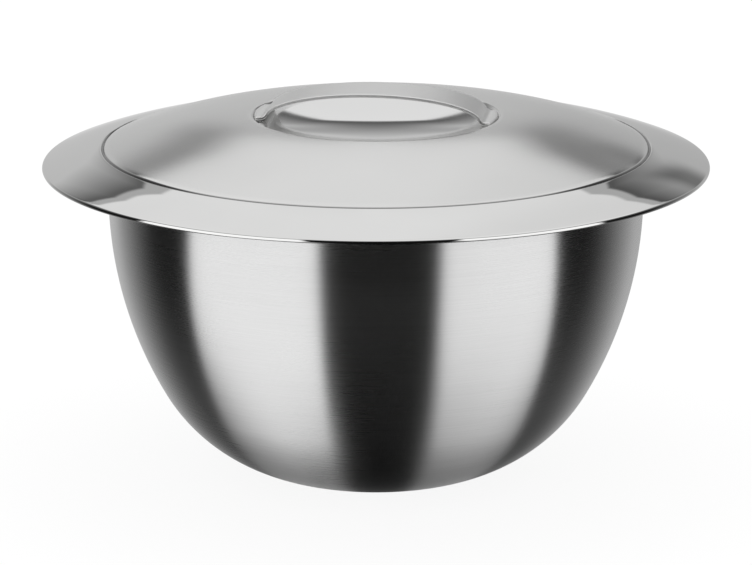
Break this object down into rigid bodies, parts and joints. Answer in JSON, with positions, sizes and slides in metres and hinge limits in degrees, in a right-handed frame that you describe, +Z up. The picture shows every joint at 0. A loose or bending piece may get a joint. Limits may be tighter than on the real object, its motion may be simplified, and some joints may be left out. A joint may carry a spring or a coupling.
{
  "type": "insulated serving bowl",
  "caption": "Double-walled steel serving bowl with a wide, shallow-domed lid that lifts off and an arched strap handle set in a round well.",
  "frame": {"origin": "centre of the flat base, on the table", "axes": "+Z up along the axis of the bowl, -Y towards the viewer of the picture, +X to the viewer's right; the handle runs along X, turned by seven degrees"},
  "size_m": [0.3, 0.3, 0.1759],
  "materials": {
    "satin_steel": "fine brush lines that run round the bowl",
    "liner_steel": "satin",
    "polished_steel": "polished, slightly soft reflections",
    "foil": "bright foil",
    "getter": "sintered, matt",
    "plug": "brazed",
    "felt": "fibre pad",
    "silicone": "soft, matt"
  },
  "bodies": {
    "bowl": {"outer_shell": "satin_steel", "inner_liner": "liner_steel", "radiation_foil": "foil", "getter_clip": "liner_steel", "getter_pellet": "getter", "vacuum_plug": "plug", "base_cover": "satin_steel"},
    "lid": {"lid_cover": "polished_steel", "lid_inner_plate": "liner_steel", "lid_insulation": "felt", "lid_gasket": "silicone", "handle_strap": "polished_steel", "handle_studs": "liner_steel", "handle_washers": "liner_steel", "handle_nuts": "liner_steel"}
  },
  "joints": [
    {"name": "lid_lift", "type": "slide", "parent": "bowl", "child": "lid", "axis": [0, 0, 1], "range_m": [0, 0.15]}
  ]
}
